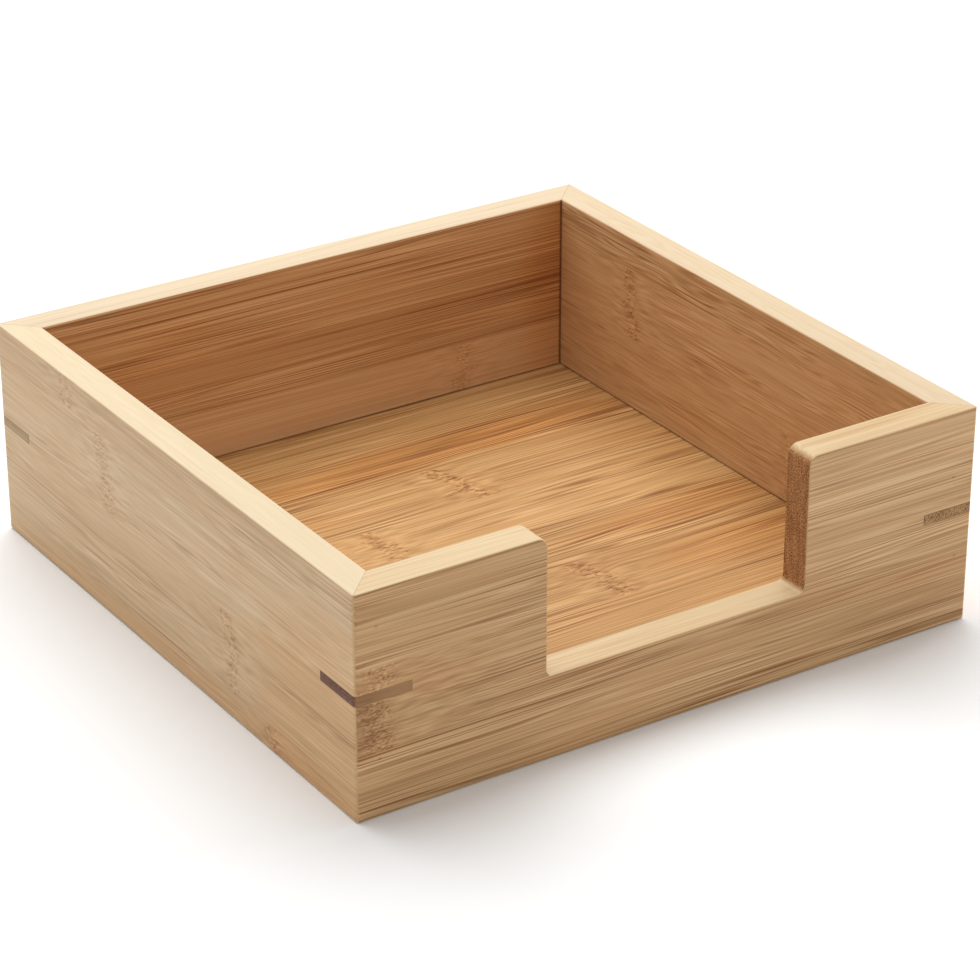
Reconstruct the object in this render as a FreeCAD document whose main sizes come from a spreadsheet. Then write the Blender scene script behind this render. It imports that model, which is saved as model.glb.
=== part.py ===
import FreeCAD, Part
import os
from math import radians

import Sketcher
from FreeCAD import Placement, Rotation, Vector

# An open napkin tray of laminated bamboo, in millimetres.
# Four mitred walls stand on the table and hold a base panel in grooves. A slot is sawn across
# each mitre, and a thin triangular key is glued into it. The front wall has a notch, through
# which the napkins are reached.
# Frame: the origin is the middle of the footprint on the table, -Y is the notched front, +Z is up.

# ---------------------------------------------------------------- driving sizes

SIZES = [
    ("tray_width", 190.0, "outside, left to right"),
    ("tray_depth", 188.2, "outside, front to back"),
    ("tray_height", 62.7, "table to rim"),
    ("wall_thickness", 9.4, "all four walls"),
    ("corner_round", 1.0, "radius of the upright outer corners"),
    ("rim_round", 0.5, "radius along the rim and round the notch"),
    ("foot_round", 1.0, "radius along the outer foot of the walls"),
    ("notch_width", 79.8, "between the upright sides of the notch"),
    ("sill_height", 23.9, "table to the bottom of the notch"),
    ("notch_foot_radius", 2.0, "hollow corners at the bottom of the notch"),
    ("notch_mouth_radius", 3.0, "round corners where the notch meets the rim"),
    ("base_thickness", 5.0, "base panel"),
    ("base_height", 4.2, "table to the underside of the base panel"),
    ("groove_depth", 4.5, "how far the base groove goes into a wall"),
    ("groove_end_clearance", 0.4, "panel edge to the bottom of its groove"),
    ("groove_top_clearance", 0.2, "panel face to the upper side of its groove"),
    ("key_thickness", 2.8, "mitre keys"),
    ("key_height", 33.9, "table to the middle of a key"),
    ("key_reach", 16.2, "slot length along each outer face"),
    ("key_side_clearance", 0.05, "glue gap on each flat side of a key"),
    ("key_end_clearance", 0.1, "glue gap along the inner edge of a key"),
]
GROOVE_HEIGHT = "(Sizes.base_thickness + Sizes.groove_top_clearance)"
SLOT_HEIGHT = "(Sizes.key_thickness + 2 * Sizes.key_side_clearance)"

# A corner's place, and the quarter turn that carries a key there.
CORNERS = {
    "front_left": {"x": "-Sizes.tray_width / 2", "y": "-Sizes.tray_depth / 2", "turn": 0},
    "front_right": {"x": "Sizes.tray_width / 2", "y": "-Sizes.tray_depth / 2", "turn": 90},
    "back_right": {"x": "Sizes.tray_width / 2", "y": "Sizes.tray_depth / 2", "turn": 180},
    "back_left": {"x": "-Sizes.tray_width / 2", "y": "Sizes.tray_depth / 2", "turn": 270},
}
# A wall's place, turn and length.
WALLS = {
    "front_wall": {
        "x": "0", "y": "-Sizes.tray_depth / 2", "turn": 0, "length": "Sizes.tray_width",
    },
    "right_wall": {
        "x": "Sizes.tray_width / 2", "y": "0", "turn": 90, "length": "Sizes.tray_depth",
    },
    "back_wall": {
        "x": "0", "y": "Sizes.tray_depth / 2", "turn": 180, "length": "Sizes.tray_width",
    },
    "left_wall": {
        "x": "-Sizes.tray_width / 2", "y": "0", "turn": 270, "length": "Sizes.tray_depth",
    },
}

OVERCUT = 2.0       # how far a cutting outline runs past the faces that it opens
TOUCH = 1e-4        # places closer together than this are the same place

document = FreeCAD.newDocument("NapkinTray")
sheet = document.addObject("Spreadsheet::Sheet", "Sizes")
for row, (alias, number, note) in enumerate(SIZES, start=1):
    sheet.set(f"A{row}", alias)
    sheet.set(f"B{row}", str(number))
    sheet.set(f"C{row}", note)
    sheet.setAlias(f"B{row}", alias)
document.recompute()


# ---------------------------------------------------------------- drawing and cutting


def size(expression):
    """The present value of a spreadsheet expression."""
    return float(sheet.evalExpression(expression))


def new_body(name, turn, x, y, z="0"):
    """A sub-part turned about Z, whose place follows the spreadsheet."""
    body = document.addObject("PartDesign::Body", name)
    body.Label = name
    body.Placement = Placement(Vector(), Rotation(Vector(0, 0, 1), turn))
    for axis, expression in zip("xyz", (x, y, z)):
        body.setExpression(f".Placement.Base.{axis}", expression)
    return body


def origin_plane(body, role):
    return next(item for item in body.Origin.OriginFeatures if item.Role == role)


def new_sketch(body, name, role, lift="0"):
    """A sketch on one of the body's origin planes, lift above it."""
    sketch = body.newObject("Sketcher::SketchObject", name)
    sketch.AttachmentSupport = [(origin_plane(body, role), "")]
    sketch.MapMode = "FlatFace"
    sketch.setExpression(".AttachmentOffset.Base.z", lift)
    return sketch


def start(piece):
    """How a constraint refers to a line's or an arc's first point."""
    return piece, 1


def end(piece):
    return piece, 2


def centre(piece):
    return piece, 3


def origin():
    """The sketch's own origin."""
    return -1, 1


def draw_loop(sketch, pieces):
    """Lines and arcs in a ring, the end of each joined to the start of the next."""
    loop = [sketch.addGeometry(piece, False) for piece in pieces]
    for piece, following in zip(loop, loop[1:] + loop[:1]):
        constrain(sketch, "Coincident", *end(piece), *start(following))
    return loop


def line(first, last):
    return Part.LineSegment(Vector(*first), Vector(*last))


def arc(middle, radius, first_degrees, last_degrees):
    circle = Part.Circle(Vector(*middle), Vector(0, 0, 1), radius)
    return Part.ArcOfCircle(circle, radians(first_degrees), radians(last_degrees))


def constrain(sketch, kind, *reference):
    return sketch.addConstraint(Sketcher.Constraint(kind, *reference))


def dimension(sketch, name, expression, kind, *reference):
    """A named dimension that follows the spreadsheet."""
    index = constrain(sketch, kind, *reference, size(expression))
    sketch.renameConstraint(index, name)
    sketch.setExpression(f"Constraints.{name}", expression)


def draw_rectangle(sketch, left, right, bottom, top):
    """A rectangle whose sides lie at four signed distances, given as expressions."""
    x = [size(left), size(right)]
    y = [size(bottom), size(top)]
    floor, right_side, ceiling, left_side = draw_loop(sketch, [
        line((x[0], y[0]), (x[1], y[0])),
        line((x[1], y[0]), (x[1], y[1])),
        line((x[1], y[1]), (x[0], y[1])),
        line((x[0], y[1]), (x[0], y[0])),
    ])
    for side in (floor, ceiling):
        constrain(sketch, "Horizontal", side)
    for side in (right_side, left_side):
        constrain(sketch, "Vertical", side)
    dimension(sketch, "left", left, "DistanceX", *origin(), *start(left_side))
    dimension(sketch, "right", right, "DistanceX", *origin(), *start(right_side))
    dimension(sketch, "bottom", bottom, "DistanceY", *origin(), *start(floor))
    dimension(sketch, "top", top, "DistanceY", *origin(), *start(ceiling))


def pad(body, name, sketch, height):
    feature = body.newObject("PartDesign::Pad", name)
    feature.Profile = sketch
    feature.setExpression("Length", height)
    document.recompute()


def check_cut(body, before):
    """A cut that points away from the solid raises no error of its own."""
    if body.Shape.Volume > before - TOUCH:
        raise RuntimeError(f"{body.Label}: {body.Tip.Label} cuts nothing")


def pocket(body, name, sketch, depth=None):
    """Cuts behind the sketch to a depth, or through everything there."""
    before = body.Shape.Volume
    feature = body.newObject("PartDesign::Pocket", name)
    feature.Profile = sketch
    if depth is None:
        feature.Type = "ThroughAll"
    else:
        feature.setExpression("Length", depth)
    document.recompute()
    check_cut(body, before)


def mirror_last_cut(body, name):
    """Repeats the body's last cut on the other side of its YZ plane."""
    before = body.Shape.Volume
    original = body.Tip
    feature = body.newObject("PartDesign::Mirrored", name)
    feature.Originals = [original]
    feature.MirrorPlane = (origin_plane(body, "YZ_Plane"), [""])
    body.Tip = feature
    document.recompute()
    check_cut(body, before)


def round_edges(body, name, radius, wanted):
    """Rounds each edge of the body for which wanted(start, middle, end) is true."""
    base = body.Tip
    chosen = []
    for number, edge in enumerate(base.Shape.Edges, start=1):
        first, last = edge.ParameterRange
        points = [edge.valueAt(at) for at in (first, (first + last) / 2, last)]
        if wanted(*points):
            chosen.append(f"Edge{number}")
    feature = body.newObject("PartDesign::Fillet", name)
    feature.Base = (base, chosen)
    feature.setExpression("Radius", radius)
    document.recompute()


# ---------------------------------------------------------------- walls
# A wall lies along its own X, with its outer face at Y = 0 and its inner face at +Y.


def draw_wall_plan(sketch, length):
    """A mitred plan, sharp at the tray's outer corners."""
    half = size(length) / 2
    thick = size("Sizes.wall_thickness")
    face, _, inside, _ = draw_loop(sketch, [
        line((-half, 0), (half, 0)),
        line((half, 0), (half - thick, thick)),
        line((half - thick, thick), (thick - half, thick)),
        line((thick - half, thick), (-half, 0)),
    ])
    constrain(sketch, "Horizontal", *origin(), *start(face))
    constrain(sketch, "Horizontal", face)
    constrain(sketch, "Horizontal", inside)
    inner_half = f"{length} / 2 - Sizes.wall_thickness"
    dimension(sketch, "low_face", f"{length} / 2", "DistanceX", *start(face), *origin())
    dimension(sketch, "high_face", f"{length} / 2", "DistanceX", *origin(), *end(face))
    dimension(sketch, "low_inside", inner_half, "DistanceX", *end(inside), *origin())
    dimension(sketch, "high_inside", inner_half, "DistanceX", *origin(), *start(inside))
    dimension(sketch, "thickness", "Sizes.wall_thickness", "DistanceY", *start(face), *start(inside))


def cut_notch(body):
    """The notch in the front wall: round at its two bottom corners and at its mouth."""
    half = size("Sizes.notch_width") / 2
    sill = size("Sizes.sill_height")
    rim = size("Sizes.tray_height")
    sketch = new_sketch(body, "NotchOutline", "XZ_Plane")
    draw_rectangle(sketch, "-Sizes.notch_width / 2", "Sizes.notch_width / 2",
                   "Sizes.sill_height", f"Sizes.tray_height + {OVERCUT}")
    pocket(body, "Notch", sketch)

    def crosses_wall(points, height):
        return all(abs(abs(point.x) - half) < TOUCH and abs(point.z - height) < TOUCH
                   for point in points)

    round_edges(body, "NotchFoot", "Sizes.notch_foot_radius",
                lambda *points: crosses_wall(points, sill))
    round_edges(body, "NotchMouth", "Sizes.notch_mouth_radius",
                lambda *points: crosses_wall(points, rim))


def round_corners(body, length):
    """Takes the sharp outer corner off both ends, down to the tray's upright round."""
    half = size(length) / 2
    radius = size("Sizes.corner_round")
    straight = half - radius
    edge = half + OVERCUT
    sketch = new_sketch(body, "CornerOffcut", "XY_Plane", f"Sizes.tray_height + {OVERCUT}")
    top, side, bottom, inner, corner = draw_loop(sketch, [
        line((half, radius), (edge, radius)),
        line((edge, radius), (edge, -OVERCUT)),
        line((edge, -OVERCUT), (straight, -OVERCUT)),
        line((straight, -OVERCUT), (straight, 0)),
        arc((straight, radius), radius, -90, 0),
    ])
    constrain(sketch, "Horizontal", top)
    constrain(sketch, "Vertical", side)
    constrain(sketch, "Horizontal", bottom)
    constrain(sketch, "Vertical", inner)
    constrain(sketch, "Horizontal", *origin(), *start(corner))
    constrain(sketch, "Vertical", *start(corner), *centre(corner))
    constrain(sketch, "Horizontal", *end(corner), *centre(corner))
    dimension(sketch, "radius", "Sizes.corner_round", "Radius", corner)
    dimension(sketch, "place", f"{length} / 2 - Sizes.corner_round", "DistanceX",
              *origin(), *centre(corner))
    dimension(sketch, "edge", f"{length} / 2 + {OVERCUT}", "DistanceX", *origin(), *start(side))
    dimension(sketch, "overcut", f"-{OVERCUT}", "DistanceY", *origin(), *end(side))
    pocket(body, "HighCorner", sketch)
    mirror_last_cut(body, "LowCorner")


def cut_slots(body, length):
    """The half of each corner's slot that lies in this wall: a triangle in plan."""
    sketch = new_sketch(body, "SlotOutlines", "XY_Plane", f"Sizes.key_height + {SLOT_HEIGHT} / 2")
    outer = f"{length} / 2 + {OVERCUT}"
    leg = f"Sizes.key_reach + 2 * {OVERCUT}"
    for name, side in (("low", -1), ("high", 1)):
        x = side * size(outer)
        inner = x - side * size(leg)
        level, upright, _ = draw_loop(sketch, [
            line((inner, -OVERCUT), (x, -OVERCUT)),
            line((x, -OVERCUT), (x, size(leg) - OVERCUT)),
            line((x, size(leg) - OVERCUT), (inner, -OVERCUT)),
        ])
        constrain(sketch, "Horizontal", level)
        constrain(sketch, "Vertical", upright)
        constrain(sketch, "Equal", level, upright)
        dimension(sketch, f"{name}_leg", leg, "Distance", level)
        dimension(sketch, f"{name}_place", f"{side} * ({outer})", "DistanceX",
                  *origin(), *start(upright))
        dimension(sketch, f"{name}_overcut", f"-{OVERCUT}", "DistanceY",
                  *origin(), *start(upright))
    pocket(body, "Slots", sketch, SLOT_HEIGHT)


def ease_edges(body):
    """Rounds the rim, the edges of the notch and the outer foot."""
    half_thick = size("Sizes.wall_thickness") / 2
    sill = size("Sizes.sill_height")

    def along_wall(points):
        return max(point.y for point in points) - min(point.y for point in points) < half_thick

    def on_rim(*points):
        return along_wall(points) and all(point.z > sill - TOUCH for point in points)

    def on_outer_foot(*points):
        return along_wall(points) and all(point.z < TOUCH and point.y < half_thick for point in points)

    round_edges(body, "Rim", "Sizes.rim_round", on_rim)
    round_edges(body, "Foot", "Sizes.foot_round", on_outer_foot)


def cut_base_groove(body, length):
    """The groove runs out through both mitres, where it meets the grooves of the next walls."""
    sketch = new_sketch(body, "GrooveOutline", "XY_Plane", f"Sizes.base_height + {GROOVE_HEIGHT}")
    draw_rectangle(sketch, f"-{length} / 2 - {OVERCUT}", f"{length} / 2 + {OVERCUT}",
                   "Sizes.wall_thickness - Sizes.groove_depth",
                   f"Sizes.wall_thickness + {OVERCUT}")
    pocket(body, "BaseGroove", sketch, GROOVE_HEIGHT)


def make_wall(name, x, y, turn, length):
    body = new_body(name, turn, x, y)
    plan = new_sketch(body, "Plan", "XY_Plane")
    draw_wall_plan(plan, length)
    pad(body, "Blank", plan, "Sizes.tray_height")
    if name == "front_wall":
        cut_notch(body)
    ease_edges(body)
    round_corners(body, length)
    cut_base_groove(body, length)
    cut_slots(body, length)
    return body


# ---------------------------------------------------------------- base panel


def make_base_panel():
    """A plain panel that lies on the lower sides of the four grooves."""
    inset = "(Sizes.wall_thickness - Sizes.groove_depth + Sizes.groove_end_clearance)"
    half_width = f"(Sizes.tray_width / 2 - {inset})"
    half_depth = f"(Sizes.tray_depth / 2 - {inset})"
    body = new_body("base_panel", 0, "0", "0", "Sizes.base_height")
    outline = new_sketch(body, "Outline", "XY_Plane")
    draw_rectangle(outline, f"-{half_width}", half_width, f"-{half_depth}", half_depth)
    pad(body, "Panel", outline, "Sizes.base_thickness")
    return body


# ---------------------------------------------------------------- mitre keys
# A key's own origin is the tray's sharp corner, and its two short edges run along +X and +Y.


def make_mitre_key(name, x, y, turn):
    """A thin triangle across the mitre, flush with both outer faces and their shared round."""
    leg = "Sizes.key_reach - Sizes.key_end_clearance * sqrt(2)"
    length = size(leg)
    radius = size("Sizes.corner_round")
    body = new_body(name, turn, x, y, "Sizes.key_height - Sizes.key_thickness / 2")
    plan = new_sketch(body, "Plan", "XY_Plane")
    first_leg, _, second_leg, corner = draw_loop(plan, [
        line((radius, 0), (length, 0)),
        line((length, 0), (0, length)),
        line((0, length), (0, radius)),
        arc((radius, radius), radius, 180, 270),
    ])
    constrain(plan, "Horizontal", *origin(), *start(first_leg))
    constrain(plan, "Horizontal", first_leg)
    constrain(plan, "Vertical", *origin(), *start(second_leg))
    constrain(plan, "Vertical", second_leg)
    constrain(plan, "Equal", first_leg, second_leg)
    constrain(plan, "Vertical", *start(first_leg), *centre(corner))
    constrain(plan, "Horizontal", *end(second_leg), *centre(corner))
    dimension(plan, "corner_round", "Sizes.corner_round", "Radius", corner)
    dimension(plan, "leg", leg, "DistanceX", *origin(), *end(first_leg))
    pad(body, "Key", plan, "Sizes.key_thickness")
    return body


# ---------------------------------------------------------------- build, check and write

bodies = [make_wall(name, **wall) for name, wall in WALLS.items()]
bodies.append(make_base_panel())
for corner, facts in CORNERS.items():
    bodies.append(make_mitre_key(f"{corner}_mitre_key", **facts))
document.recompute()

for item in document.Objects:
    if "Invalid" in item.State or "Error" in item.State:
        raise RuntimeError(f"{item.Label} did not compute: {item.State}")
for body in bodies:
    if body.Shape.isNull() or not body.Shape.isValid() or len(body.Shape.Solids) != 1:
        raise RuntimeError(f"{body.Label} is not one valid solid")

os.makedirs("parts", exist_ok=True)
for body in bodies:
    body.Shape.exportStep(os.path.join("parts", f"{body.Label}.step"))
    print(f"{body.Label}: {body.Shape.Volume / 1000:.2f} cm3")
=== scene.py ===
import math

import bmesh
import bpy
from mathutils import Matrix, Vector

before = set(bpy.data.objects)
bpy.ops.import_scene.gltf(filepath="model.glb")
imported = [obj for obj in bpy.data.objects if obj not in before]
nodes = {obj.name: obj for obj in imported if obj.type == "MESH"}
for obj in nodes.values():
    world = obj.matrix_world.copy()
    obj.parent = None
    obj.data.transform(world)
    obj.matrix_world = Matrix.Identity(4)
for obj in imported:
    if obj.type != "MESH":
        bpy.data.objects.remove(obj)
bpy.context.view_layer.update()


# The viewpoint: a long lens held above the front left corner of the tray,
# looking down into the well and through the notch in the front wall.
CAMERA_PLACE = (-0.46331, -0.71547, 0.45062)
CAMERA_TURN = math.radians(33.199)
CAMERA_DIP = math.radians(26.529)
CAMERA_LENS = 128.884
CAMERA_NEAREST = 0.05
CAMERA_FURTHEST = 40

camera_data = bpy.data.cameras.new("camera")
camera_data.lens = CAMERA_LENS
camera_data.clip_start = CAMERA_NEAREST
camera_data.clip_end = CAMERA_FURTHEST
camera = bpy.data.objects.new("camera", camera_data)
camera.location = CAMERA_PLACE
camera.rotation_mode = "QUATERNION"
sight = Vector((
    math.sin(CAMERA_TURN) * math.cos(CAMERA_DIP),
    math.cos(CAMERA_TURN) * math.cos(CAMERA_DIP),
    -math.sin(CAMERA_DIP),
))
camera.rotation_quaternion = sight.to_track_quat("-Z", "Y")
bpy.context.scene.collection.objects.link(camera)
bpy.context.scene.camera = camera


# The sweep that the tray stands on: one wide sheet of matt white board,
# so pale that the light takes it to plain white away from the tray.
FLOOR_REACH = 6.0
FLOOR_WHITE = (0.90, 0.90, 0.895, 1)
FLOOR_ROUGHNESS = 0.9
FLOOR_SHINE = 0.1

sweep = bmesh.new()
bmesh.ops.create_grid(sweep, x_segments=2, y_segments=2, size=FLOOR_REACH)
floor_mesh = bpy.data.meshes.new("floor")
sweep.to_mesh(floor_mesh)
sweep.free()
floor = bpy.data.objects.new("floor", floor_mesh)
bpy.context.scene.collection.objects.link(floor)
floor_finish = bpy.data.materials.new("white_board")
floor_finish.use_nodes = True
floor_surface = floor_finish.node_tree.nodes["Principled BSDF"]
floor_surface.inputs["Base Color"].default_value = FLOOR_WHITE
floor_surface.inputs["Roughness"].default_value = FLOOR_ROUGHNESS
floor_surface.inputs["Specular IOR Level"].default_value = FLOOR_SHINE
floor_mesh.materials.append(floor_finish)


# The lighting: a white tent all round and one wide softbox that hangs level,
# overhead and mostly behind the tray, so its front wall stands in soft shade.
# A low panel on the right fills the shadow that the tray throws on that side.
TENT_WHITE = (1, 1, 1, 1)
TENT_STRENGTH = 0.53
SOFTBOX_PLACE = (0.12, 0.66, 1.30)
SOFTBOX_SIZE = (1.50, 1.35)
SOFTBOX_WATTS = 23.0
FILL_PLACE = (1.15, -0.05, 0.34)
FILL_SIZE = (0.8, 0.5)
FILL_WATTS = 4.6


def light_panel(name, place, size, watts):
    """Hangs a flat lamp, which shines straight down until it is turned."""
    lamp = bpy.data.lights.new(name, "AREA")
    lamp.shape = "RECTANGLE"
    lamp.size, lamp.size_y = size
    lamp.energy = watts
    panel = bpy.data.objects.new(name, lamp)
    panel.location = place
    bpy.context.scene.collection.objects.link(panel)
    return panel


tent = bpy.data.worlds.new("tent")
tent.use_nodes = True
tent.node_tree.nodes["Background"].inputs["Color"].default_value = TENT_WHITE
tent.node_tree.nodes["Background"].inputs["Strength"].default_value = TENT_STRENGTH
bpy.context.scene.world = tent
light_panel("softbox", SOFTBOX_PLACE, SOFTBOX_SIZE, SOFTBOX_WATTS)
fill = light_panel("fill", FILL_PLACE, FILL_SIZE, FILL_WATTS)
fill.rotation_mode = "QUATERNION"
fill.rotation_quaternion = (-fill.location).to_track_quat("-Z", "Y")
bpy.context.scene.view_settings.view_transform = "Standard"
bpy.context.scene.view_settings.look = "None"


# The base panel: flat strips of bamboo about 23 mm wide, glued edge to edge,
# planed to 5 mm and let into a groove that runs round inside the four walls.
# The well is sheltered, so its lacquer has kept the deepest honey colour.
MILLIMETRES = 1000
SEED_STEPS = (1.0, 1.7, 2.3)
NOISE_ROUGHNESS = 0.5
NOISE_MIDDLE = 0.5


class Wire:
    """A shader node's output, which sums and products can be written with."""

    def __init__(self, socket):
        self.socket = socket

    def node(self, kind, settings=None, inputs=None, output=0):
        """Adds a node to the same finish, sets it, then feeds its inputs."""
        made = self.socket.id_data.nodes.new("ShaderNode" + kind)
        for name, value in (settings or {}).items():
            if name == "stops":
                ramp = made.color_ramp.elements
                ramp.remove(ramp[1])
                ramp[0].position, ramp[0].color = value[0]
                for position, colour in value[1:]:
                    ramp.new(position).color = colour
            else:
                setattr(made, name, value)
        for name, value in (inputs or {}).items():
            if isinstance(name, int):
                socket = made.inputs[name]
            else:
                socket = next(s for s in made.inputs if s.enabled and s.name == name)
            if isinstance(value, Wire):
                self.socket.id_data.links.new(value.socket, socket)
            else:
                socket.default_value = value
        if isinstance(output, int):
            return Wire(made.outputs[output])
        return Wire(next(s for s in made.outputs if s.enabled and s.name == output))

    def maths(self, operation, *values):
        """One sum on numbers or wires, or on this wire alone where none are given."""
        inputs = dict(enumerate(values or (self,)))
        return self.node("Math", {"operation": operation}, inputs)

    def __add__(self, other):
        return self.maths("ADD", self, other)

    def __sub__(self, other):
        return self.maths("SUBTRACT", self, other)

    def __rsub__(self, other):
        return self.maths("SUBTRACT", other, self)

    def __mul__(self, other):
        return self.maths("MULTIPLY", self, other)

    def __abs__(self):
        return self.maths("ABSOLUTE")

    __radd__ = __add__
    __rmul__ = __mul__

    def rise(self, low, high):
        """0 below low, 1 above high, and a smooth rise between them."""
        settings = {"interpolation_type": "SMOOTHSTEP"}
        inputs = {"Value": self, "From Min": low, "From Max": high}
        return self.node("MapRange", settings, inputs)

    def noise(self, lengths, seed, detail=1.0):
        """Noise from -0.5 to 0.5 whose patches have these lengths, in mm."""
        place = self.node("Mapping", None, {
            "Vector": self,
            "Scale": tuple(1 / length for length in lengths),
            "Location": tuple(seed * step for step in SEED_STEPS),
        })
        return place.node("TexNoise", None, {
            "Vector": place, "Scale": 1.0, "Detail": detail, "Roughness": NOISE_ROUGHNESS,
        }) - NOISE_MIDDLE

    def tint(self, other):
        """Multiplies the colour on this wire by another."""
        settings = {"data_type": "RGBA", "blend_type": "MULTIPLY"}
        inputs = {"Factor": 1.0, "A": self, "B": other}
        return self.node("Mix", settings, inputs, "Result")

    def blend(self, other, amount):
        """Mixes the colour on this wire with another, by an amount."""
        settings = {"data_type": "RGBA", "clamp_factor": True}
        inputs = {"Factor": amount, "A": self, "B": other}
        return self.node("Mix", settings, inputs, "Result")


# A _SPREAD is the size of a noise's patches in mm: along the grain, across the
# strips and through the board. _PITCHES are in pitches, the width of one fibre,
# and other lengths are in mm. Each noise adds a number of its own to the seed.
RAGGED_SPREAD = (60, 4, 4)
RAGGED_SHIFT = 11
KNOT_MARGIN = 0.6
KNOT_CORE = 0.3


def knotted(straight, along, across, seed, knots):
    """How far a place lies in a knot's swirled band, and in the stir round it."""
    ragged = straight.noise(RAGGED_SPREAD, seed + 1, detail=2.0) * RAGGED_SHIFT
    band = 0.0
    stir = 0.0
    for middle, low, high, half, reach, strength, lean in knots:
        inside = across.rise(low, low + KNOT_MARGIN) * (1 - across.rise(high - KNOT_MARGIN, high))
        offset = abs(along - middle + ragged + (across - (low + high) / 2) * lean)
        band = (1 - offset.rise(half * KNOT_CORE, half)) * inside * strength + band
        stir = (1 - offset.rise(half, reach)) * inside * strength + stir
    return band, stir


JOIN_BLUR = 0.15
SEAM_WIDTH = (0.05, 0.30)
SEAM_DEPTH = 0.07


def stripped(across, strips):
    """Each strip's own shade, with a fine seam under it, and its grain's boldness."""
    shade = 0.0
    boldness = 1.0
    for join, strip_shade, strip_boldness in strips:
        above = across.rise(join - JOIN_BLUR, join + JOIN_BLUR)
        shade = above * (strip_shade - shade) + shade
        boldness = above * (strip_boldness - boldness) + boldness
        seam = (1 - abs(across - join).rise(*SEAM_WIDTH)) * SEAM_DEPTH
        shade = shade - seam
    return shade, boldness


FIBRE_DEPTH = 0.62
JOSTLE_PITCHES = 4
JOSTLE_SHIFT_PITCHES = 9
RANK_PITCHES = 2.4
RANK_DEPTH = 0.09
LINE_STRETCH = 2
LINE_PITCHES = 1.1
LINE_LEVELS = (0.07, 0.19)
LINE_DEPTH = 0.1
CALM_SPREAD = (60, 9, 9)
CALM_LEVELS = (-0.25, 0.25)
CALM_LEAST = 0.45


def fibred(straight, grain, stirred, seed, length, pitch, lines):
    """Fibres laid side by side with dark lines between them, faint in calm places."""
    fibre = grain.noise((length, pitch, pitch), seed + 7, detail=0.0)
    jostle_width = pitch * JOSTLE_PITCHES
    jostle = grain.noise((length, jostle_width, jostle_width), seed + 6, detail=0.0)
    jostled = stirred + jostle * (pitch * JOSTLE_SHIFT_PITCHES)
    ranks = jostled * (2 * math.pi / (pitch * RANK_PITCHES))
    line_width = pitch * LINE_PITCHES
    line = grain.noise((length * LINE_STRETCH, line_width, line_width), seed + 8, detail=0.0)
    texture = fibre * FIBRE_DEPTH + ranks.maths("SINE") * (RANK_DEPTH * lines)
    texture = texture - line.rise(*LINE_LEVELS) * (LINE_DEPTH * lines)
    return texture * (straight.noise(CALM_SPREAD, seed + 9).rise(*CALM_LEVELS) + CALM_LEAST)


BUMP_PITCHES = (2.2, 1, 1)
BUMP_DEPTH = 0.75
PIT_PITCHES = (1.9, 0.9, 0.9)
PIT_LEVELS = (0.08, 0.18)
PIT_DEPTH = 0.24


def swirled(straight, seed, pitch):
    """The short bumps and dark pits inside a knot, where the fibres turn over."""
    bump_spread = [pitch * size for size in BUMP_PITCHES]
    pit_spread = [pitch * size for size in PIT_PITCHES]
    bumps = straight.noise(bump_spread, seed + 10, detail=0.0)
    pits = straight.noise(pit_spread, seed + 15, detail=0.0)
    return bumps * BUMP_DEPTH - pits.rise(*PIT_LEVELS) * PIT_DEPTH


TONES = (0.0, 0.5, 1.0)


def dye(tone, colours):
    """A dark, a middle and a pale colour, laid out by tone."""
    stops = [(stop, (*colour, 1)) for stop, colour in zip(TONES, colours)]
    return tone.node("ValToRGB", {"stops": stops}, {"Fac": tone})


# how squarely a surface faces a way to show its edge or end grain, or to be flat
GRAIN_TURN = (0.45, 0.80)
FLAT_TURN = (0.74, 0.94)
OVAL_FADE = (0.1, 1.0)

# the run of the grain
WANDER_SPREAD = (170, 26, 26)
WANDER_SHIFT = 1.6
STIR_SPREAD = (9, 3.5, 3.5)
STIR_SHIFT_PITCHES = 2.4
SWIRL_SPREAD = (2.2, 2.2, 2.2)
SWIRL_SHIFT_PITCHES = 2

# the tone
MIDDLE_TONE = 0.5
BAND_SPREAD = (300, 8, 8)
BAND_DEPTH = 0.25
RIPPLE_LENGTH = 6.5
RIPPLE_PITCHES = 1.3
RIPPLE_DEPTH = 0.75
STIR_HUSH = 0.7
KNOT_CONTRAST = 0.9
KNOT_LEAST = 0.2
KNOT_DARK = 0.04

# the colours
ROSY_SPREAD = (55, 4.5, 4.5)
ROSY_LEVELS = (-0.2, 0.2)
ROSY_KNOT = 0.6
ROSY_AMOUNT = 0.8
ROSY_TINT = (1.02, 0.97, 0.95, 1)
HONEY_SPREAD = (55, 13, 13)
HONEY_LEVELS = (0.02, 0.3)
HONEY_AMOUNT = 0.3
HONEY_TINT = (1.02, 0.85, 0.66, 1)
PORE_SPREAD = (40, 0.42, 0.42)
PORE_DEPTH = 3.2
LAYER_SPREAD = (40, 9, 1.8)
LAYER_DEPTH = 1.2
WORN_AND_LIT_TINT = (1.0, 0.88, 0.70)
WORN_AND_LIT_AMOUNT = 0.5

# the joints, and the painted shade in the creases inside
BASE_TOP = 9.2
GLUE_WIDTH = (0.03, 0.25)
GLUE_AMOUNT = 0.4
CREASE_WIDTH = (0.2, 0.7)
CREASE_DEPTH = (8.8, 9.3)
CREASE_SHADE_AMOUNT = 0.8
CREASE_SHADE_COLOUR = (0.13, 0.05, 0.02, 1)

# the lacquer
LACQUER_ROUGHNESS = 0.50
GRAIN_POLISH = 0.2
END_ROUGHNESS = 0.15
EASED_POLISH = 0.06
LACQUER_SHINE = 0.35
RELIEF_STRENGTH = 0.2
RELIEF_METRES = 0.0003
EDGE_SMOOTHNESS = 0.6


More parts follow.
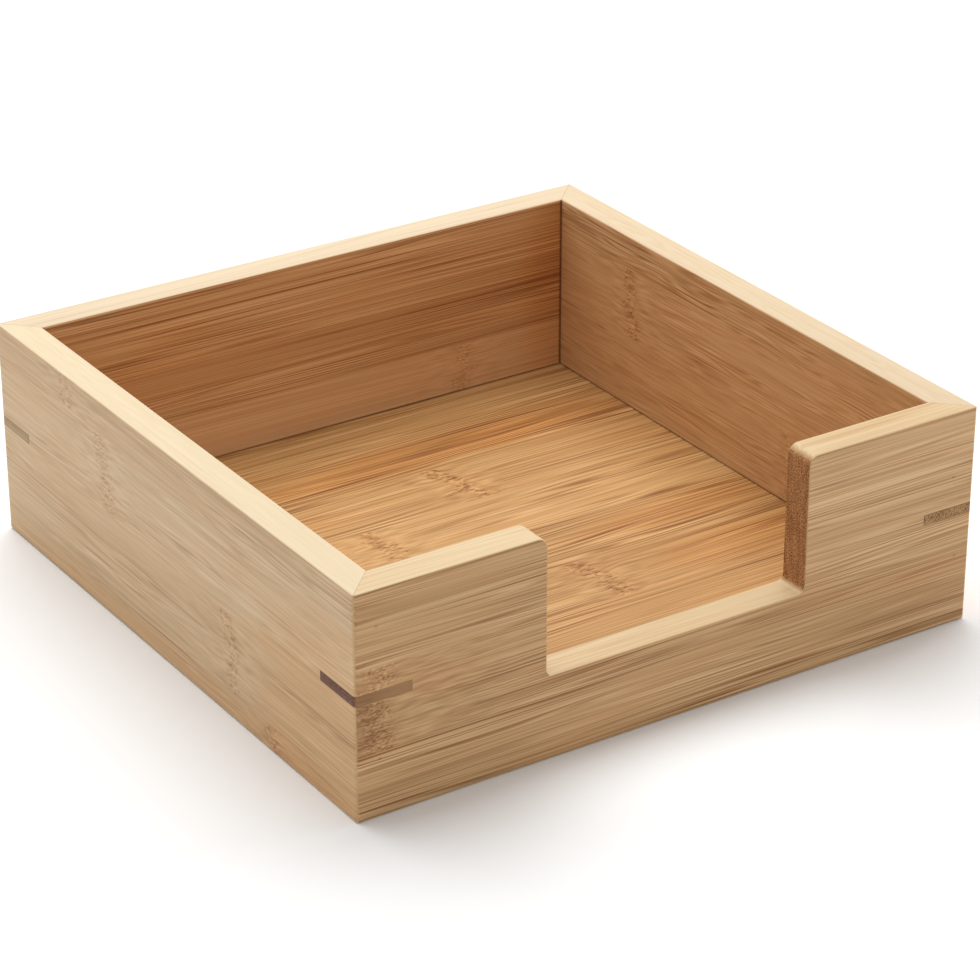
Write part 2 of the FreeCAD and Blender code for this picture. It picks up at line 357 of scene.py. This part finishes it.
def bamboo(slot, axes, seed, face, edge, end, strips=(), knots=(), marks=(), honey=(),
           contrast=1.0, length=60, pitch=0.6, lines=1.0, edge_contrast=0.4,
           edge_marks=(), mitred=None):
    """A glued board of bamboo strips, grained right through its thickness.

    axes are the board's own directions: along the grain, across the strips and
    through the thickness. face, edge and end are the dark, middle and pale
    colours of the strips' wide face, of their edge grain and of their end grain.
    A strip is its lower joint, its shade and how bold its grain is. A knot is its
    middle, its strip's two joints, half the width of its band, the reach of the
    stir round it, its strength and its lean. Marks and honey patches are ovals:
    the middle along and across the board, half the length, half the width, and
    the depth. length and pitch are a fibre's, and lines is how strongly its
    sides show. mitred is half the board's length and where its outer face is.
    """
    finish = bpy.data.materials.new(slot)
    finish.use_nodes = True
    tree = finish.node_tree
    surface = tree.nodes["Principled BSDF"]
    place = Wire(tree.nodes.new("ShaderNodeTexCoord").outputs["Object"])
    facing = Wire(tree.nodes.new("ShaderNodeNewGeometry").outputs["Normal"])
    spot = place.node("SeparateXYZ", None, {"Vector": place}).socket.node.outputs
    along, across, through = (Wire(spot["xyz".index(axis)]) * MILLIMETRES for axis in axes)
    turn = facing.node("SeparateXYZ", None, {"Vector": facing}).socket.node.outputs
    to_end, to_edge, to_face = (abs(Wire(turn["xyz".index(axis)])) for axis in axes)
    on_edge = to_edge.rise(*GRAIN_TURN)
    on_end = to_end.rise(*GRAIN_TURN)
    squarest = place.maths("MAXIMUM", place.maths("MAXIMUM", to_end, to_edge), to_face)
    eased = 1 - squarest.rise(*FLAT_TURN)

    def oval(middle, height, half_length, half_width):
        """1 at a place on the board, and 0 outside a soft oval round it."""
        aside = (along - middle) * (1 / half_length)
        above = (across - height) * (1 / half_width)
        return 1 - (aside * aside + above * above).rise(*OVAL_FADE)

    # the run of the grain: long slow curves, stirred and then swirled at the knots
    straight = place.node("CombineXYZ", None, {"X": along, "Y": across, "Z": through})
    wander = straight.noise(WANDER_SPREAD, seed + 2) * WANDER_SHIFT
    if knots:
        band, stir = knotted(straight, along, across, seed, knots)
        stir_shift = pitch * STIR_SHIFT_PITCHES
        swirl_shift = pitch * SWIRL_SHIFT_PITCHES
        wander = wander + straight.noise(STIR_SPREAD, seed + 3) * stir * stir_shift
        wander = wander + straight.noise(SWIRL_SPREAD, seed + 4) * band * swirl_shift
    stirred = across + wander
    grain = place.node("CombineXYZ", None, {"X": along, "Y": stirred, "Z": through})

    # the tone: soft bands, fibres, each strip's shade, the knots and any dark marks
    bands = MIDDLE_TONE + grain.noise(BAND_SPREAD, seed + 5) * BAND_DEPTH
    shade, boldness = stripped(across, strips)
    texture = fibred(straight, grain, stirred, seed, length, pitch, lines) * contrast * boldness
    if knots:
        ripple_width = pitch * RIPPLE_PITCHES
        ripple = grain.noise((RIPPLE_LENGTH, ripple_width, ripple_width), seed + 14, detail=0.0)
        texture = texture * (1 - stir * STIR_HUSH) + ripple * stir * (RIPPLE_DEPTH * contrast)
    tone = bands + texture + shade
    if knots:
        swirl = swirled(straight, seed, pitch) * band * (contrast * KNOT_CONTRAST + KNOT_LEAST)
        tone = tone + swirl - band * KNOT_DARK
    for *place_and_size, depth in marks:
        tone = tone - oval(*place_and_size) * depth
    edge_tone = bands + texture * edge_contrast
    for *place_and_size, depth in edge_marks:
        edge_tone = edge_tone - oval(*place_and_size) * depth

    # the colours: rosy streaks on the face, then the rim, the honey patches, the
    # pores and layers of the end grain, and paler wood with a painted highlight on the eased
    # corners
    rosy = grain.noise(ROSY_SPREAD, seed + 12).rise(*ROSY_LEVELS)
    if knots:
        rosy = rosy + band * ROSY_KNOT
    colour = dye(tone, face)
    colour = colour.blend(colour.tint(ROSY_TINT), rosy * ROSY_AMOUNT)
    colour = colour.blend(dye(edge_tone, edge), on_edge)
    warm = straight.noise(HONEY_SPREAD, seed + 13).rise(*HONEY_LEVELS) * HONEY_AMOUNT
    for *place_and_size, amount in honey:
        warm = warm + oval(*place_and_size) * amount
    colour = colour.blend(colour.tint(HONEY_TINT), warm * (1 - on_edge))
    pores = grain.noise(PORE_SPREAD, seed + 11) * PORE_DEPTH
    layers = straight.noise(LAYER_SPREAD, seed + 16) * LAYER_DEPTH
    colour = colour.blend(dye(MIDDLE_TONE + pores + layers, end), on_end)
    # paler worn wood and a painted highlight on the rounded corners
    worn_and_lit = tuple(part * tint for part, tint in zip(edge[1], WORN_AND_LIT_TINT))
    colour = colour.blend((*worn_and_lit, 1), eased * WORN_AND_LIT_AMOUNT)

    # the joints: a fine glue line on the rim, and painted shade in the creases inside
    if mitred:
        half_length, outer = mitred
        depth = abs(through - outer)
        gap = abs(half_length - abs(along) - depth)
        glue = (1 - gap.rise(*GLUE_WIDTH)) * on_edge * GLUE_AMOUNT
        # painted shade: the inner faces darken where the mitred walls meet and just above the
        # base panel's groove
        clear = gap.maths("MINIMUM", gap, abs(across - BASE_TOP)).rise(*CREASE_WIDTH)
        crease_shade = (1 - clear) * depth.rise(*CREASE_DEPTH) * (1 - on_edge) * CREASE_SHADE_AMOUNT
        colour = colour.blend((*face[0], 1), glue)
        colour = colour.blend(CREASE_SHADE_COLOUR, crease_shade)

    # the lacquer: a satin coat, glossier on pale fibres and duller on end grain
    rough = LACQUER_ROUGHNESS - texture * GRAIN_POLISH
    rough = rough + on_end * END_ROUGHNESS - eased * EASED_POLISH
    relief = texture.node("Bump", None, {
        "Strength": RELIEF_STRENGTH, "Distance": RELIEF_METRES,
        "Height": texture * (1 - on_edge * EDGE_SMOOTHNESS),
    })
    tree.links.new(colour.socket, surface.inputs["Base Color"])
    tree.links.new(rough.socket, surface.inputs["Roughness"])
    tree.links.new(relief.socket, surface.inputs["Normal"])
    surface.inputs["Specular IOR Level"].default_value = LACQUER_SHINE
    return finish


DARKER = (0.50, 0.36, 0.25)
PALER = (1.42, 1.60, 1.95)
PALEST = 0.95


def shades(middle, spread=1.0):
    """A dark and a pale colour either side of a middle one: dark bamboo is redder."""
    dark = tuple(part * step ** spread for part, step in zip(middle, DARKER))
    pale = tuple(min(PALEST, part * step ** spread) for part, step in zip(middle, PALER))
    return dark, middle, pale


BASE_FACE = shades((0.500, 0.274, 0.097))
BASE_EDGE = shades((0.66, 0.44, 0.22), 0.5)
BASE_END = shades((0.32, 0.15, 0.06))
BASE_STRIPS = (
    (-71.0, 0.00, 0.9),
    (-47.6, -0.03, 1.0),
    (-24.4, -0.04, 1.1),
    (-2.0, 0.13, 0.9),
    (21.3, 0.02, 0.9),
    (45.0, -0.02, 1.1),
    # painted light: the strip by the back wall is made paler to lift the shade that the back wall
    # throws on it
    (68.5, 0.12, 0.9),
)
BASE_KNOTS = (
    (15.8, 21.3, 45.0, 4.5, 16.0, 1.4, 0.30),
    (-22.3, -2.0, 21.3, 4.5, 16.0, 1.3, 0.0),
    (16.7, -47.6, -24.4, 4.5, 16.0, 1.2, 0.15),
    (-64.0, -24.4, -2.0, 4.5, 16.0, 1.2, 0.0),
)
BASE_HONEY = (
    (60.0, -13.0, 45.0, 10.0, 0.6),
    (60.0, -38.0, 32.0, 12.0, 0.6),
    (10.0, 54.0, 70.0, 10.0, 0.8),
    (60.0, 55.0, 40.0, 14.0, 0.5),
)

nodes["base_panel"].data.materials[0] = bamboo(
    "bamboo_base_panel", "xyz", 11, BASE_FACE, BASE_EDGE, BASE_END,
    strips=BASE_STRIPS, knots=BASE_KNOTS, honey=BASE_HONEY,
    contrast=0.95, length=70, pitch=0.75, lines=2.5,
)


# The four walls: boards of bamboo strips about 23 mm wide, stood on edge, mitred
# and glued at the corners, and grooved inside near the foot for the base panel.
# Their places are in mm from the middle of the tray and up from the table.
HALF_WIDTH = 95
HALF_DEPTH = 94.1
WALL_END = shades((0.36, 0.162, 0.058))

# The back and right walls are redder than the left wall: partly the boards' own colour, partly
# painted shade matched to their inner faces in the shade of the well.
BACK_FACE = shades((0.62, 0.37, 0.175))
BACK_EDGE = shades((0.669, 0.532, 0.358), 0.5)
BACK_STRIPS = ((1.5, 0.18, 0.5), (24.5, -0.04, 1.0), (47.0, -0.02, 1.0))
BACK_KNOTS = ((51.6, 1.5, 24.5, 5, 24, 0.9, 0.1),)
# The first honey patch is the wood's own colour. The second honey patch and both marks are
# painted shade: they darken and redden the inside corner where the back wall meets the right
# wall.
BACK_HONEY_AND_CORNER_SHADE = ((0, 48, 220, 26, 0.5), (88, 35, 22, 60, 0.6))
BACK_CORNER_SHADE = ((92, 35, 22, 60, 0.10), (96, 35, 7, 70, 0.10))

nodes["back_wall"].data.materials[0] = bamboo(
    "bamboo_back_wall", "xzy", 23, BACK_FACE, BACK_EDGE, WALL_END,
    strips=BACK_STRIPS, knots=BACK_KNOTS, marks=BACK_CORNER_SHADE, honey=BACK_HONEY_AND_CORNER_SHADE,
    contrast=0.8, length=110, pitch=0.45, lines=2.6, mitred=(HALF_WIDTH, HALF_DEPTH),
)

# redder than the left wall: partly the board's own colour, partly painted shade, as for the back
# wall
RIGHT_FACE = shades((0.60, 0.355, 0.165))
RIGHT_EDGE = shades((0.651, 0.505, 0.327), 0.5)
RIGHT_STRIPS = ((8.0, 0.0, 0.9), (31.0, 0.03, 0.8), (53.0, 0.0, 1.0))
RIGHT_KNOTS = (
    (48.6, 31.0, 53.0, 4.5, 22, 1.0, -0.05),
    (-27, 8.0, 31.0, 3.5, 18, 0.5, 0.0),
)

nodes["right_wall"].data.materials[0] = bamboo(
    "bamboo_right_wall", "yzx", 37, RIGHT_FACE, RIGHT_EDGE, WALL_END,
    strips=RIGHT_STRIPS, knots=RIGHT_KNOTS,
    contrast=0.95, length=24, pitch=0.55, lines=1.4, mitred=(HALF_DEPTH, HALF_WIDTH),
)

LEFT_FACE = shades((0.606, 0.424, 0.240))
LEFT_EDGE = shades((0.72, 0.585, 0.388), 0.5)
LEFT_STRIPS = ((7.5, 0.0, 1.0), (30.5, 0.02, 1.0), (53.5, -0.04, 1.2))
LEFT_KNOTS = (
    (53, 53.5, 64, 5.5, 28, 1.0, 0.0),
    (33, 30.5, 53.5, 5.5, 28, 1.0, -0.15),
    (-33.5, 7.5, 30.5, 4.5, 24, 1.0, 0.0),
    (-54.5, -2, 7.5, 5, 24, 1.0, 0.0),
)
LEFT_HONEY = ((-85, 15, 50, 45, 0.6), (0, 0, 130, 10, 0.5))
LEFT_MARKS = ((0, 0, 160, 14, 0.07),)

nodes["left_wall"].data.materials[0] = bamboo(
    "bamboo_left_wall", "yzx", 53, LEFT_FACE, LEFT_EDGE, WALL_END,
    strips=LEFT_STRIPS, knots=LEFT_KNOTS, marks=LEFT_MARKS, honey=LEFT_HONEY,
    contrast=0.55, length=28, mitred=(HALF_DEPTH, -HALF_WIDTH),
)

# The front wall's marks are four specks, a pale sweep over its right half, a
# shadow round the knot by the left key, and painted shade along the arris under the whole rim.
FRONT_FACE = shades((0.548, 0.328, 0.148))
FRONT_EDGE = ((0.45, 0.22, 0.06), (0.688, 0.525, 0.31), (0.80, 0.678, 0.468))
FRONT_STRIPS = ((18.0, -0.01, 1.0), (42.0, 0.03, 1.0))
FRONT_KNOTS = ((-89, 18.0, 42.0, 6.5, 56, 1.0, 0.0),)
FRONT_MARKS = (
    (-88.8, 52.7, 0.7, 0.6, 0.2),
    (-88.3, 16.5, 0.7, 0.6, 0.2),
    (90.0, 20.5, 0.8, 0.6, 0.2),
    (88.0, 44.0, 0.8, 0.6, 0.2),
    (70.0, 45.0, 70.0, 34.0, -0.10),
    (-94.0, 26.0, 7.5, 11.0, 0.16),
    (-91.0, 26.0, 11.0, 14.0, 0.05),
    # painted shade on the rounded arris under the rim
    (0.0, 62.3, 300.0, 0.8, 0.22),
)
FRONT_EDGE_MARKS = ((0, 24, 60, 6, 0.11), (68, 63, 40, 6, 0.17))

nodes["front_wall"].data.materials[0] = bamboo(
    "bamboo_front_wall", "xzy", 71, FRONT_FACE, FRONT_EDGE, WALL_END,
    strips=FRONT_STRIPS, knots=FRONT_KNOTS, marks=FRONT_MARKS, edge_marks=FRONT_EDGE_MARKS,
    contrast=0.82, length=70, pitch=0.5, lines=2.2, edge_contrast=0.3,
    mitred=(HALF_WIDTH, -HALF_DEPTH),
)


# The mitre keys: thin slips of bamboo glued into a saw cut across each corner
# and trimmed flush. The front left slip is a smoked one, dark on its end grain.
TAN_KEY = (shades((0.400, 0.264, 0.132), 0.5), shades((0.325, 0.172, 0.063), 0.9))
SMOKED_KEY = (shades((0.338, 0.172, 0.067), 0.5), shades((0.166, 0.073, 0.046), 0.6))
SMOKED_MARKS = ((-96, -94, 9, 40, 0.16), (-79, -94, 8, 40, -0.14))
KEYS = (
    ("front_left", "xyz", SMOKED_KEY, SMOKED_MARKS),
    ("front_right", "yxz", TAN_KEY, ()),
    ("back_left", "yxz", TAN_KEY, ()),
    ("back_right", "xyz", TAN_KEY, ()),
)

for corner, axes, (long_grain, end_grain), key_marks in KEYS:
    nodes[corner + "_mitre_key"].data.materials[0] = bamboo(
        f"bamboo_{corner}_key", axes, 91, long_grain, long_grain, end_grain,
        contrast=0.8, length=20, edge_contrast=1.0, edge_marks=key_marks,
    )
